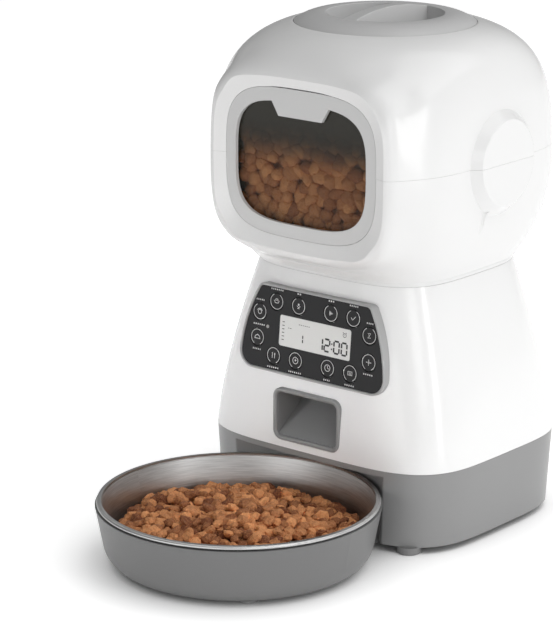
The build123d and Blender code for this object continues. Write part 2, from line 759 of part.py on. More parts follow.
with BuildPart() as motor_pinion:
    with BuildSketch(Plane.XY.offset(IDLER_LARGE_Z - 0.4)):
        add(gear_disc(PINION_TEETH, MOTOR_Y, 270 + 180 / PINION_TEETH))
    extrude(amount=GEAR_FACE)
    with BuildSketch(Plane.XY.offset(IDLER_LARGE_Z - 6)):
        with Locations((0, MOTOR_Y)):
            Circle(MOTOR_SHAFT)
    extrude(amount=7)
save(motor_pinion, "motor_pinion")


def drive_plate(by=0.0):
    """Plan of the gearbox: a round end at the rotor, a narrower one at the motor."""
    with Locations((0, BODY_Y)):
        Circle(20.5 + by)
    with Locations((0, (BODY_Y + MOTOR_Y) / 2 + 2)):
        Rectangle(2 * (19 + by), MOTOR_Y - BODY_Y + 6)
    with Locations((0, MOTOR_Y + 2)):
        RectangleRounded(2 * (19 + by), 2 * (11 + by), 4)


HOUSING_BOLTS = [(side * 16.2, MOTOR_Y + 8) for side in (-1, 1)]
HOUSING_BOLTS += [(side * 22.2, BODY_Y + 9) for side in (-1, 1)]

with BuildPart() as gearbox_housing:
    with BuildSketch(Plane.XY.offset(HOUSING_Z)):
        drive_plate(2)
        with Locations(*HOUSING_BOLTS):
            Circle(3.4)
    extrude(amount=18.8)
    with BuildSketch(Plane.XY.offset(HOUSING_Z + 2.5)):
        drive_plate()
        with Locations(*HOUSING_BOLTS):
            Circle(3.4, mode=Mode.SUBTRACT)
    extrude(amount=30, mode=Mode.SUBTRACT)
    with BuildSketch(Plane.XY.offset(HOUSING_Z - 1)):
        with Locations((0, MOTOR_Y)):
            Circle(4)
    extrude(amount=10, mode=Mode.SUBTRACT)
    # the wall is cut away where the chute passes in front of the output gear
    with BuildSketch(Plane.XY.offset(HOUSING_Z - 1)):
        with Locations((0, BODY_Y - 31)):
            Rectangle(60, 20)
    extrude(amount=40, mode=Mode.SUBTRACT)
    with BuildSketch(Plane.XY.offset(HOUSING_Z - 1)):
        with Locations(*HOUSING_BOLTS):
            Circle(1.3)
    extrude(amount=40, mode=Mode.SUBTRACT)
save(gearbox_housing, "gearbox_housing")

with BuildPart() as gearbox_cover:
    with BuildSketch(Plane.XY.offset(HOUSING_Z + 19)):
        drive_plate(2)
        with Locations(*HOUSING_BOLTS):
            Circle(3.4)
        with Locations((0, BODY_Y)):
            Circle(SHAFT_RADIUS + RUNNING_GAP, mode=Mode.SUBTRACT)
        with Locations((0, IDLER_Y)):
            Circle(PIN_RADIUS, mode=Mode.SUBTRACT)
        with Locations(*HOUSING_BOLTS):
            Circle(1.5, mode=Mode.SUBTRACT)
        with Locations((0, BODY_Y - 31)):
            Rectangle(60, 20, mode=Mode.SUBTRACT)
    extrude(amount=2.4)
save(gearbox_cover, "gearbox_cover")

with BuildPart() as gearbox_screws:
    for x, y in HOUSING_BOLTS:
        with BuildSketch(Plane.XY.offset(HOUSING_Z + 8)):
            with Locations((x, y)):
                Circle(1.25)
        extrude(amount=13.5)
        with BuildSketch(Plane.XY.offset(HOUSING_Z + 21.45)):
            with Locations((x, y)):
                Circle(2.6)
        extrude(amount=1.6)
save(gearbox_screws, "gearbox_screws")

with BuildPart() as motor:
    with BuildSketch(Plane.XY.offset(HOUSING_Z - 31)):
        with Locations((0, MOTOR_Y)):
            Circle(12)
            Rectangle(30, 18.5, mode=Mode.INTERSECT)
    extrude(amount=30.9)
    with BuildSketch(Plane.XY.offset(HOUSING_Z - 0.2)):
        with Locations((0, MOTOR_Y)):
            Circle(3.4)
    extrude(amount=2.4)
    with BuildSketch(Plane.XY.offset(HOUSING_Z - 10)):
        with Locations((0, MOTOR_Y)):
            Circle(MOTOR_SHAFT + RUNNING_GAP)
    extrude(amount=20, mode=Mode.SUBTRACT)
save(motor, "motor")

SPEAKER_X = 76.0

with BuildPart() as speaker:
    with BuildSketch(Plane.YZ.offset(SPEAKER_X)):
        with Locations((BODY_Y + 10, 88)):
            Circle(20)
    extrude(amount=-4)
    with BuildSketch(Plane.YZ.offset(SPEAKER_X - 4)):
        with Locations((BODY_Y + 10, 88)):
            Circle(12)
    extrude(amount=-6)
save(speaker, "speaker")

# ---------------------------------------------------------------- base


def bay_plan(by=0.0, mode=Mode.ADD):
    """Plan of the bay in the base that the bowl stands in."""
    with Locations((0, BOWL_Y)):
        Circle(BAY_RADIUS + by, mode=mode)


def tunnel_plan(by=0.0, mode=Mode.ADD):
    """Plan of the low tunnel behind the bay that takes the holder's tongue."""
    with Locations((0, (BOWL_Y + TUNNEL_BACK_Y + by) / 2)):
        Rectangle(2 * (TUNNEL_HALF + by), TUNNEL_BACK_Y + by - BOWL_Y, mode=mode)


JACK_Z = 24.0
JACK_X = -40.0
JACK_SIZE = (13.0, 11.0)

with BuildPart() as bay_walls:
    with BuildSketch(Plane.XY.offset(BASE_FLOOR_Z)):
        bay_plan(WALL)
    extrude(amount=BAY_TOP_Z + WALL - BASE_FLOOR_Z)
    with BuildSketch(Plane.XY.offset(BASE_FLOOR_Z)):
        tunnel_plan(WALL)
    extrude(amount=TUNNEL_TOP_Z + WALL - BASE_FLOOR_Z)
    add(base_solid(BASE_FLOOR_Z, SEAM_Z, 1), mode=Mode.INTERSECT)

with BuildPart() as base_shell:
    add(base_solid(BASE_FLOOR_Z, SEAM_Z, 0))
    add(base_solid(BASE_FLOOR_Z - 1, SEAM_Z + 1, WALL), mode=Mode.SUBTRACT)
    add(bay_walls.part)
    with BuildSketch(Plane.XY):
        bay_plan()
    extrude(amount=BAY_TOP_Z, mode=Mode.SUBTRACT)
    with BuildSketch(Plane.XY):
        tunnel_plan()
    extrude(amount=TUNNEL_TOP_Z, mode=Mode.SUBTRACT)
    corners = edges().filter_by(
        lambda edge: edge.center().Y < 0 and abs(edge.center().X) > 50 and edge.length > 40
    )
    fillet(corners, 2.0)
    with BuildSketch(Plane.XZ.offset(-BODY_Y - 60)):
        with Locations((JACK_X, JACK_Z)):
            Rectangle(JACK_SIZE[0] + 0.4, JACK_SIZE[1] + 0.4)
    extrude(amount=-40, mode=Mode.SUBTRACT)
save(base_shell, "base_shell")

FLOOR_THICKNESS = 2.4
DOOR_HALF = (56.0, 35.0)
DOOR_TRAVEL = 6.0
FOOT_SPOTS = [(side * 69.5, BODY_Y + end) for side in (-1, 1) for end in (-65.5, 60)]
FLOOR_BOLTS = [(side * 76, BODY_Y + end) for side in (-1, 1) for end in (-30, 40)]

with BuildPart() as base_floor:
    with BuildSketch(Plane.XY.offset(BASE_FLOOR_Z + 0.1)):
        inset = WALL + 0.2
        add(ring_face(rounded_square(BASE_HALF[0] - inset, BASE_HALF[1] - inset, BASE_HALF[2], BODY_Y)))
        bay_plan(WALL + 0.2, Mode.SUBTRACT)
        tunnel_plan(WALL + 0.2, Mode.SUBTRACT)
        with Locations((0, CELL_Y + DOOR_TRAVEL / 2)):
            Rectangle(2 * DOOR_HALF[0], 2 * DOOR_HALF[1] + DOOR_TRAVEL, mode=Mode.SUBTRACT)
        with Locations(*FLOOR_BOLTS):
            Circle(1.8, mode=Mode.SUBTRACT)
    extrude(amount=FLOOR_THICKNESS)
save(base_floor, "base_floor")

with BuildPart() as battery_door:
    with BuildSketch(Plane.XY.offset(BASE_FLOOR_Z + 0.1)):
        with Locations((0, CELL_Y)):
            Rectangle(2 * (DOOR_HALF[0] - GAP), 2 * (DOOR_HALF[1] - GAP))
    extrude(amount=FLOOR_THICKNESS - 0.4)
    # grip ridges on the outside
    with BuildSketch(Plane.XY.offset(BASE_FLOOR_Z - 0.5)):
        with Locations((0, CELL_Y + 22)):
            with GridLocations(0, 4, 1, 4):
                Rectangle(26, 1.4)
    extrude(amount=0.8)
save(battery_door, "battery_door")

with BuildPart() as battery_tray:
    tray_low = BASE_FLOOR_Z + FLOOR_THICKNESS + 0.2
    tray_half = (1.5 * CELL_PITCH + 2.5, CELL_LENGTH / 2 + 5)
    with BuildSketch(Plane.XY.offset(tray_low)):
        with Locations((0, CELL_Y)):
            Rectangle(2 * tray_half[0], 2 * tray_half[1])
            Rectangle(2 * tray_half[0] - 4, 2 * tray_half[1] - 4, mode=Mode.SUBTRACT)
    extrude(amount=CELL_Z + CELL_RADIUS - tray_low + 0.5)
    with BuildSketch(Plane.XY.offset(CELL_Z + CELL_RADIUS + 0.4)):
        with Locations((0, CELL_Y)):
            Rectangle(2 * tray_half[0], 2 * tray_half[1])
    extrude(amount=1.8)
save(battery_tray, "battery_tray")

with BuildPart() as battery_cells:
    for place in (-1, 0, 1):
        turn = 1 if place == 0 else -1
        with BuildSketch(Plane.XZ.offset(-CELL_Y - turn * CELL_LENGTH / 2)):
            with Locations((place * CELL_PITCH, CELL_Z)):
                Circle(CELL_RADIUS)
        extrude(amount=turn * (CELL_LENGTH - 1.5))
        with BuildSketch(Plane.XZ.offset(-CELL_Y + turn * (CELL_LENGTH / 2 - 1.6))):
            with Locations((place * CELL_PITCH, CELL_Z)):
                Circle(4.8)
        extrude(amount=turn * 1.6)
save(battery_cells, "battery_cells")

with BuildPart() as battery_contacts:
    # a spring coil's envelope at one end of each cell and a plate at the other
    for place in (-1, 0, 1):
        turn = 1 if place == 0 else -1
        with BuildSketch(Plane.XZ.offset(-CELL_Y - turn * (CELL_LENGTH / 2 + 2.9))):
            with Locations((place * CELL_PITCH, CELL_Z)):
                Circle(6)
                Circle(4.6, mode=Mode.SUBTRACT)
        extrude(amount=turn * 2.8)
        with BuildSketch(Plane.XZ.offset(-CELL_Y + turn * (CELL_LENGTH / 2 + 0.1))):
            with Locations((place * CELL_PITCH, CELL_Z)):
                Rectangle(10, 14)
        extrude(amount=turn * 2.8)
save(battery_contacts, "battery_contacts")

with BuildPart() as power_jack:
    jack_depth = 15.0
    jack_y = BODY_Y + base_half(JACK_Z)[1] - 0.6
    with BuildSketch(Plane.XZ.offset(-jack_y)):
        with Locations((JACK_X, JACK_Z)):
            Rectangle(*JACK_SIZE)
    extrude(amount=jack_depth)
    with BuildSketch(Plane.XZ.offset(-jack_y)):
        with Locations((JACK_X, JACK_Z)):
            Circle(3.1)
    extrude(amount=jack_depth - 4, mode=Mode.SUBTRACT)
    with BuildSketch(Plane.XZ.offset(-jack_y + jack_depth - 3.5)):
        with Locations((JACK_X, JACK_Z)):
            Circle(1)
    extrude(amount=-(jack_depth - 6))
save(power_jack, "power_jack")

with BuildPart() as base_feet:
    with BuildSketch(Plane.XY):
        with Locations(*FOOT_SPOTS):
            Circle(7.2)
    extrude(amount=BASE_FLOOR_Z)
    chamfer(edges().group_by(Axis.Z)[0], 0.6)
save(base_feet, "base_feet")

with BuildPart() as base_screws:
    for x, y in FLOOR_BOLTS:
        with BuildSketch(Plane.XY.offset(BASE_FLOOR_Z - 1.4)):
            with Locations((x, y)):
                Circle(3.2)
        extrude(amount=1.5)
        with BuildSketch(Plane.XY.offset(BASE_FLOOR_Z)):
            with Locations((x, y)):
                Circle(1.6)
        extrude(amount=14)
save(base_screws, "base_screws")

# ---------------------------------------------------------------- bowl

HOLDER_FLOOR_Z = 1.8
HOLDER_WALL = 2.2
TONGUE_HALF = TUNNEL_HALF - 1.0
TONGUE_BACK_Y = TUNNEL_BACK_Y - 2.0
TONGUE_TOP_Z = TUNNEL_TOP_Z - 1.4


def cup_profile(by):
    """Half section of the holder's cup about the bowl axis, smaller by a wall."""
    low = HOLDER_FLOOR_Z + by
    bend = (80.6 - by, 13.5)
    with BuildSketch() as section:
        with BuildLine():
            Line((0, low), (68 - by, low))
            Spline((68 - by, low), (77.2 - by, low + 4.4 - by * 0.3), bend, tangents=[(1, 0), (0.17, 1)])
            Polyline(bend, (BOWL_RADIUS - by, HOLDER_RIM_Z), (0, HOLDER_RIM_Z), (0, low))
        make_face()
    return section.sketch


BOWL_AXIS = Axis((0, BOWL_Y, 0), (0, 0, 1))
BOWL_SECTION = Plane(origin=(0, BOWL_Y, 0), x_dir=(1, 0, 0), z_dir=(0, -1, 0))

with BuildPart() as cup_outside:
    with BuildSketch(BOWL_SECTION):
        add(cup_profile(0))
    revolve(axis=BOWL_AXIS)

with BuildPart() as cup_inside:
    with BuildSketch(BOWL_SECTION):
        add(cup_profile(HOLDER_WALL))
    revolve(axis=BOWL_AXIS)

with BuildPart() as bowl_holder:
    # tongue that slides into the base, open underneath
    with BuildSketch(Plane.XY.offset(HOLDER_FLOOR_Z)):
        with Locations((0, (BOWL_Y + TONGUE_BACK_Y) / 2)):
            Rectangle(2 * TONGUE_HALF, TONGUE_BACK_Y - BOWL_Y)
    extrude(amount=TONGUE_TOP_Z - HOLDER_FLOOR_Z)
    with BuildSketch(Plane.XY.offset(HOLDER_FLOOR_Z)):
        with Locations((0, (BOWL_Y + TONGUE_BACK_Y) / 2 - HOLDER_WALL)):
            Rectangle(2 * (TONGUE_HALF - HOLDER_WALL), TONGUE_BACK_Y - BOWL_Y)
    extrude(amount=TONGUE_TOP_Z - HOLDER_FLOOR_Z - HOLDER_WALL, mode=Mode.SUBTRACT)
    add(cup_outside.part)
    add(cup_inside.part, mode=Mode.SUBTRACT)
    # a bar across the tongue's open underside carries its rear feet
    with BuildSketch(Plane.XY.offset(HOLDER_FLOOR_Z)):
        with Locations((0, TONGUE_BACK_Y - 9)):
            Rectangle(2 * TONGUE_HALF - 1, 15)
    extrude(amount=HOLDER_WALL)
save(bowl_holder, "bowl_holder")

HOLDER_FEET = [(side * 46, BOWL_Y - 46) for side in (-1, 1)]
HOLDER_FEET += [(side * 40, TONGUE_BACK_Y - 9) for side in (-1, 1)]

with BuildPart() as holder_feet:
    with BuildSketch(Plane.XY):
        with Locations(*HOLDER_FEET):
            Circle(6)
    extrude(amount=HOLDER_FLOOR_Z)
    chamfer(edges().group_by(Axis.Z)[0], 0.4)
save(holder_feet, "holder_feet")

STEEL = 0.8
BEAD_RADIUS = 1.25
BEAD_Z = HOLDER_RIM_Z + GAP + BEAD_RADIUS


def bowl_wall(by):
    """Half section of the steel bowl, moved inwards by its thickness."""
    low = 7.2 + by
    bend = (77.4 - by, 17.5)
    with BuildSketch() as section:
        with BuildLine():
            Line((0, low), (66 - by, low))
            Spline((66 - by, low), (73.8 - by, 10.4 + by * 0.5), bend, tangents=[(1, 0), (0.17, 1)])
            Polyline(bend, (81.9 - by, BEAD_Z), (0, BEAD_Z), (0, low))
        make_face()
    return section.sketch


with BuildPart() as steel_bowl:
    with BuildSketch(BOWL_SECTION):
        add(bowl_wall(0))
    revolve(axis=BOWL_AXIS)
    with BuildSketch(BOWL_SECTION):
        with Locations((BOWL_RADIUS - BEAD_RADIUS - 0.9, BEAD_Z)):
            Circle(BEAD_RADIUS)
        with Locations((BOWL_RADIUS - 2.6, BEAD_Z + BEAD_RADIUS - 0.4)):
            Rectangle(2.4, 0.8)
    revolve(axis=BOWL_AXIS)
    with BuildSketch(BOWL_SECTION):
        add(bowl_wall(STEEL))
    revolve(axis=BOWL_AXIS, mode=Mode.SUBTRACT)
    with BuildSketch(Plane.XY.offset(BEAD_Z - 0.1)):
        with Locations((0, BOWL_Y)):
            Circle(81.9 - STEEL)
    extrude(amount=10, mode=Mode.SUBTRACT)
save(steel_bowl, "steel_bowl")
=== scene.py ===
# %% [markdown]
# # An automatic pet feeder
#
# The feeder is a white tank head on a tapered white body, a grey base, and a steel bowl in a grey
# holder that slides into the base. The exact shapes come from the CAD frame. This lesson gives them
# their finishes, and models what the CAD leaves out: the food, the printing on the keys and the
# figures of the display.

# %% Load the frame
import json
import math
import random

import bmesh
import bpy
from mathutils import Matrix, Vector


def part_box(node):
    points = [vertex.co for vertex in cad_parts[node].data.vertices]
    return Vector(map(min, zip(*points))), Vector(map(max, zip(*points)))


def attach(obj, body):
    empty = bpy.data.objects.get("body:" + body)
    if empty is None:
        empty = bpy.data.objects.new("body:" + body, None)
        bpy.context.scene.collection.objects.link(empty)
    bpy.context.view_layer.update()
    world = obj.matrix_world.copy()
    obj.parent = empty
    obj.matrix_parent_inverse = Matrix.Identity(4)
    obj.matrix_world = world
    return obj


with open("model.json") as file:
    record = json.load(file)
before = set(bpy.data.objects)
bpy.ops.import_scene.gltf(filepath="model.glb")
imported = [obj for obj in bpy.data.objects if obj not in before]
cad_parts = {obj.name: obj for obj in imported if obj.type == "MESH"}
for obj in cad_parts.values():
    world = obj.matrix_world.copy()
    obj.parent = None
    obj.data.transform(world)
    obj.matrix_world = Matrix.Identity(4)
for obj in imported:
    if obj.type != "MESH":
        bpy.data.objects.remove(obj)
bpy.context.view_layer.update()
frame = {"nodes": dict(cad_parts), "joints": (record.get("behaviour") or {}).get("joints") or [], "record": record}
nodes = frame["nodes"]
MM = 0.001


def middle(node):
    """Centre of a CAD node's box."""
    low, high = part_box(node)
    return (low + high) / 2


bowl_low, bowl_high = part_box("steel_bowl")
bowl_axis = middle("steel_bowl")
body_axis = middle("body_shell")
print("nodes:", len(nodes), "body axis at y =", round(body_axis.y, 4))

# %% [markdown]
# ## Camera
#
# A product picture is taken from a little above and well to the right, with a long lens, so that
# upright edges stay nearly parallel. The camera stands on a ray from the point it aims at, given by
# an azimuth from the front and a pitch.

# %% Camera
AZIMUTH = math.radians(39.63)
PITCH = math.radians(15.84)
ROLL = math.radians(0.09)
DISTANCE = 1.718
AIM = Vector((-0.0476, 0.0251, 0.1196))
LENS_PER_LONG_SIDE = 2777.8 / 640

toward = Vector((
    math.cos(PITCH) * math.sin(AZIMUTH),
    -math.cos(PITCH) * math.cos(AZIMUTH),
    math.sin(PITCH),
))
bpy.ops.object.camera_add(location=AIM + toward * DISTANCE)
camera = bpy.context.object
turn = toward.to_track_quat("Z", "Y").to_matrix() @ Matrix.Rotation(ROLL, 3, "Z")
camera.rotation_euler = turn.to_euler()
camera.data.sensor_width = 36
camera.data.lens = camera.data.sensor_width * LENS_PER_LONG_SIDE
camera.data.clip_end = 20
bpy.context.scene.camera = camera

# %% [markdown]
# ## Studio
#
# The surroundings are pale and grow brighter towards the right and above, so the feeder's right side
# is brighter than its front. A very large soft light overhead is the key. A low wide light fills the
# front, and a snoot, a light that throws a narrow beam, lifts the lower front that the head puts in
# shade. A tall narrow light gives glossy plastic the upright streak that shows how smooth it is.

# %% Studio
world = bpy.data.worlds.new("studio")
bpy.context.scene.world = world
world.use_nodes = True
sky = world.node_tree
heading = sky.nodes.new("ShaderNodeTexCoord").outputs["Generated"]
BRIGHT_WAY = (0.84, 0.24, 0.48)
lean = sky.nodes.new("ShaderNodeVectorMath")
lean.operation = "DOT_PRODUCT"
lean.inputs[1].default_value = BRIGHT_WAY
sky.links.new(heading, lean.inputs[0])
level = sky.nodes.new("ShaderNodeMapRange")
level.interpolation_type = "SMOOTHSTEP"
level.inputs["From Min"].default_value = -0.55
level.inputs["From Max"].default_value = 0.9
level.inputs["To Min"].default_value = 0.11
level.inputs["To Max"].default_value = 0.70
sky.links.new(lean.outputs["Value"], level.inputs["Value"])
sky.links.new(level.outputs["Result"], sky.nodes["Background"].inputs["Strength"])
sky.nodes["Background"].inputs["Color"].default_value = (1, 1, 1, 1)
bpy.context.scene.view_settings.view_transform = "Standard"


def soft_light(name, place, size, watts, aim=(0, 0.05, 0.16)):
    """Rectangular light that faces a point on the object."""
    bpy.ops.object.light_add(type="AREA", location=place)
    light = bpy.context.object
    light.name = name
    light.data.shape = "RECTANGLE"
    light.data.size, light.data.size_y = size
    light.data.energy = watts
    light.rotation_euler = (Vector(place) - Vector(aim)).to_track_quat("Z", "Y").to_euler()
    return light


soft_light("key", (0.8, 0.45, 1.7), (1.9, 1.9), 12.5)
soft_light("fill", (-0.05, -1.2, 0.16), (0.9, 0.3), 1.7, aim=(0, 0, 0.06))
snoot = soft_light("snoot", (-0.3, -0.95, 0.24), (0.12, 0.12), 0.024, aim=(-0.04, -0.01, 0.075))
snoot.data.spread = math.radians(16)
snoot.visible_glossy = False  # no hot spot in the gloss
soft_light("side", (1.15, -0.8, 0.5), (0.5, 0.5), 1.3, aim=(0, -0.08, 0.08))
soft_light("strip", (1.55, -0.12, 0.36), (0.22, 0.9), 3)
soft_light("rim", (-1.4, 0.9, 0.6), (0.9, 1.2), 0.25)

bpy.ops.mesh.primitive_plane_add(size=12, location=(0, 2, 0))
floor = bpy.context.object
floor.name = "floor"

# %% Finish helpers


def new_material(name):
    material = bpy.data.materials.new(name)
    material.use_nodes = True
    tree = material.node_tree
    return material, tree, tree.nodes["Principled BSDF"]


def add_node(tree, kind, **settings):
    made = tree.nodes.new(kind)
    for key, value in settings.items():
        if key in made.inputs:
            made.inputs[key].default_value = value
        else:
            setattr(made, key, value)
    return made


# %% Sweep
# The ground glows a little, so that it stays white, and glows less where something stands close to it: a painted
# contact shadow.
material, tree, shader = new_material("sweep")
painted_contact_shadow = add_node(tree, "ShaderNodeAmbientOcclusion", Distance=0.09, samples=8)
depth = add_node(tree, "ShaderNodeMapRange")
depth.inputs["From Min"].default_value = 0.15
depth.inputs["From Max"].default_value = 0.9
depth.inputs["To Max"].default_value = 0.62
tree.links.new(painted_contact_shadow.outputs["AO"], depth.inputs["Value"])
# the glow, dimmed near the feeder, paints its contact shadow on the ground
tree.links.new(depth.outputs["Result"], shader.inputs["Emission Strength"])
shader.inputs["Base Color"].default_value = (0.78, 0.78, 0.78, 1)
shader.inputs["Roughness"].default_value = 0.6
shader.inputs["Emission Color"].default_value = (1, 1, 1, 1)
floor.data.materials.append(material)

# %% [markdown]
# ## Moulded plastic
#
# Nearly all of the feeder is injection-moulded plastic. What tells one plastic part from another is
# its gloss and the grain of its mould: the white shells are polished, the grey base has a fine
# spark-eroded grain, and the inner parts are plainly matte. One function makes them all, from a
# colour, a roughness and a grain, with slight unevenness so that no surface is perfectly even. A
# finish is named for a material slot, or for one node that differs a little from the rest of its slot.

# %% Plastics


def plastic(name, colour, roughness, grain=0.0, coat=0.0, shade=0.03, smudge=0.04, swirl=9.0,
            gloss=0.5):
    """Moulded plastic.

    grain: depth of the mould texture in millimetres; coat: share of a clear top layer;
    shade and smudge: how far the colour and the roughness wander; swirl: how finely they do;
    gloss: strength of the mirror-like part.
    """
    material, tree, shader = new_material(name)
    place = add_node(tree, "ShaderNodeTexCoord").outputs["Object"]
    cloud = add_node(tree, "ShaderNodeTexNoise", Scale=swirl, Detail=3.0)
    tree.links.new(place, cloud.inputs["Vector"])
    tint = add_node(tree, "ShaderNodeMixRGB")
    tint.inputs["Color1"].default_value = (*colour, 1)
    tint.inputs["Color2"].default_value = (*[part * (1 - shade) for part in colour], 1)
    tree.links.new(cloud.outputs["Fac"], tint.inputs["Fac"])
    tree.links.new(tint.outputs["Color"], shader.inputs["Base Color"])
    wear = add_node(tree, "ShaderNodeTexNoise", Scale=swirl * 6, Detail=4.0)
    tree.links.new(place, wear.inputs["Vector"])
    dull = add_node(tree, "ShaderNodeMapRange")
    dull.inputs["To Min"].default_value = max(roughness - smudge, 0.02)
    dull.inputs["To Max"].default_value = roughness + smudge
    tree.links.new(wear.outputs["Fac"], dull.inputs["Value"])
    tree.links.new(dull.outputs["Result"], shader.inputs["Roughness"])
    if grain:
        pits = add_node(tree, "ShaderNodeTexNoise", Scale=1500.0, Detail=2.0)
        tree.links.new(place, pits.inputs["Vector"])
        bump = add_node(tree, "ShaderNodeBump", Strength=0.35, Distance=grain * MM)
        tree.links.new(pits.outputs["Fac"], bump.inputs["Height"])
        tree.links.new(bump.outputs["Normal"], shader.inputs["Normal"])
    shader.inputs["Specular IOR Level"].default_value = gloss
    shader.inputs["Coat Weight"].default_value = coat
    shader.inputs["Coat Roughness"].default_value = 0.04
    return material


finishes = {
    "white_shell": plastic("polished white", (0.73, 0.73, 0.728), 0.24, coat=0.2, shade=0.015),
    # the body is the head's polished white painted lighter: painted light on its front
    "body_shell": plastic("polished white with painted light", (0.79, 0.79, 0.788), 0.20, coat=0.3, shade=0.015),
    # the bezel is the same white with a satin gloss, its colour darkened: painted shade round the window
    "window_bezel": plastic("satin white with painted shade", (0.57, 0.57, 0.568), 0.36, coat=0.1, shade=0.015),
    "lid_grey": plastic("satin light grey", (0.50, 0.50, 0.50), 0.33, grain=0.02),
    "lid_plug": plastic("plain white", (0.70, 0.70, 0.70), 0.5),
    "base_grey": plastic("grained mid grey", (0.235, 0.235, 0.235), 0.36, grain=0.04, coat=0.08),
    # the holder is grained grey plastic, its colour darkened below the base's: painted shade on its sides
    "holder_grey": plastic("grained grey with painted shade", (0.165, 0.165, 0.165), 0.42, grain=0.04, gloss=0.25),
    "chute_grey": plastic("smooth dark grey", (0.25, 0.25, 0.25), 0.30, coat=0.1),
    "panel_silver": plastic("silver paint", (0.36, 0.36, 0.36), 0.30, coat=0.2, swirl=20.0),
    "panel_black": plastic("gloss black", (0.010, 0.010, 0.011), 0.16, smudge=0.02, gloss=0.3),
    "hopper": plastic("natural white", (0.66, 0.65, 0.63), 0.45),
    "rotor": plastic("soft rotor grey", (0.10, 0.10, 0.105), 0.62, grain=0.05),
    "gears": plastic("acetal", (0.72, 0.68, 0.58), 0.38),
    "inner_black": plastic("matte black", (0.030, 0.030, 0.030), 0.5, grain=0.05),
    "board": plastic("board green", (0.015, 0.10, 0.04), 0.4, shade=0.3, swirl=60.0),
    "cells": plastic("cell wrap", (0.03, 0.04, 0.06), 0.25, coat=0.3),
    "rubber": plastic("grey rubber", (0.20, 0.20, 0.20), 0.7, grain=0.06),
    "lamp": plastic("clear lamp", (0.30, 0.29, 0.28), 0.2, coat=0.4),
}
print(len(finishes), "plastics")

# %% [markdown]
# ## Steel
#
# The bowl is spun and then brushed while it turns, so its scratches run round it. On real steel they
# are thinner than a hair and stretch the highlight sideways. The pattern here is noise squeezed into
# fine rings: it reads the distance from the bowl's axis and the height, and hardly changes with the
# angle.

# %% Brushed steel


def brushed(name, colour, roughness, centre):
    """Metal with scratches that run round an upright axis through centre."""
    material, tree, shader = new_material(name)
    place = add_node(tree, "ShaderNodeTexCoord").outputs["Object"]
    shift = add_node(tree, "ShaderNodeMapping")
    shift.inputs["Location"].default_value = (-centre.x, -centre.y, 0)
    tree.links.new(place, shift.inputs["Vector"])
    split = add_node(tree, "ShaderNodeSeparateXYZ")
    tree.links.new(shift.outputs["Vector"], split.inputs["Vector"])
    angle = add_node(tree, "ShaderNodeMath", operation="ARCTAN2")
    tree.links.new(split.outputs["Y"], angle.inputs[0])
    tree.links.new(split.outputs["X"], angle.inputs[1])
    flat = add_node(tree, "ShaderNodeCombineXYZ")
    tree.links.new(split.outputs["X"], flat.inputs["X"])
    tree.links.new(split.outputs["Y"], flat.inputs["Y"])
    reach = add_node(tree, "ShaderNodeVectorMath", operation="LENGTH")
    tree.links.new(flat.outputs["Vector"], reach.inputs[0])
    ring = add_node(tree, "ShaderNodeCombineXYZ")
    slow = add_node(tree, "ShaderNodeMath", operation="MULTIPLY")
    slow.inputs[1].default_value = 0.0035
    tree.links.new(angle.outputs["Value"], slow.inputs[0])
    tree.links.new(slow.outputs["Value"], ring.inputs["X"])
    tree.links.new(reach.outputs["Value"], ring.inputs["Y"])
    tree.links.new(split.outputs["Z"], ring.inputs["Z"])
    lines = add_node(tree, "ShaderNodeTexNoise", Scale=1400.0, Detail=5.0)
    tree.links.new(ring.outputs["Vector"], lines.inputs["Vector"])
    tint = add_node(tree, "ShaderNodeMapRange")
    tint.inputs["From Min"].default_value = 0.3
    tint.inputs["From Max"].default_value = 0.7
    tree.links.new(lines.outputs["Fac"], tint.inputs["Value"])
    shades = add_node(tree, "ShaderNodeMixRGB")
    shades.inputs["Color1"].default_value = (*[part * 0.72 for part in colour], 1)
    shades.inputs["Color2"].default_value = (*colour, 1)
    tree.links.new(tint.outputs["Result"], shades.inputs["Fac"])
    tree.links.new(shades.outputs["Color"], shader.inputs["Base Color"])
    dull = add_node(tree, "ShaderNodeMapRange")
    dull.inputs["To Min"].default_value = roughness - 0.07
    dull.inputs["To Max"].default_value = roughness + 0.1
    tree.links.new(lines.outputs["Fac"], dull.inputs["Value"])
    tree.links.new(dull.outputs["Result"], shader.inputs["Roughness"])
    bump = add_node(tree, "ShaderNodeBump", Strength=0.25, Distance=0.03 * MM)
    tree.links.new(lines.outputs["Fac"], bump.inputs["Height"])
    tree.links.new(bump.outputs["Normal"], shader.inputs["Normal"])
    shader.inputs["Metallic"].default_value = 1.0
    shader.inputs["Anisotropic"].default_value = 0.6
    return material


finishes["steel"] = brushed("brushed steel", (0.64, 0.64, 0.635), 0.36, bowl_axis)
finishes["drive_metal"] = brushed("turned steel", (0.55, 0.55, 0.56), 0.32, body_axis)

# %% [markdown]
# ## Smoked window and display
#
# The window is clear plastic with a brown-black smoke that is thicker towards its top, which hides
# the empty part of the tank and still shows the food. A thin clear sheet is easier to see through
# when it is made of a see-through share and a glossy share than when it bends light. The display is a
# pale grey glass that glows evenly: painted light that brightens it.

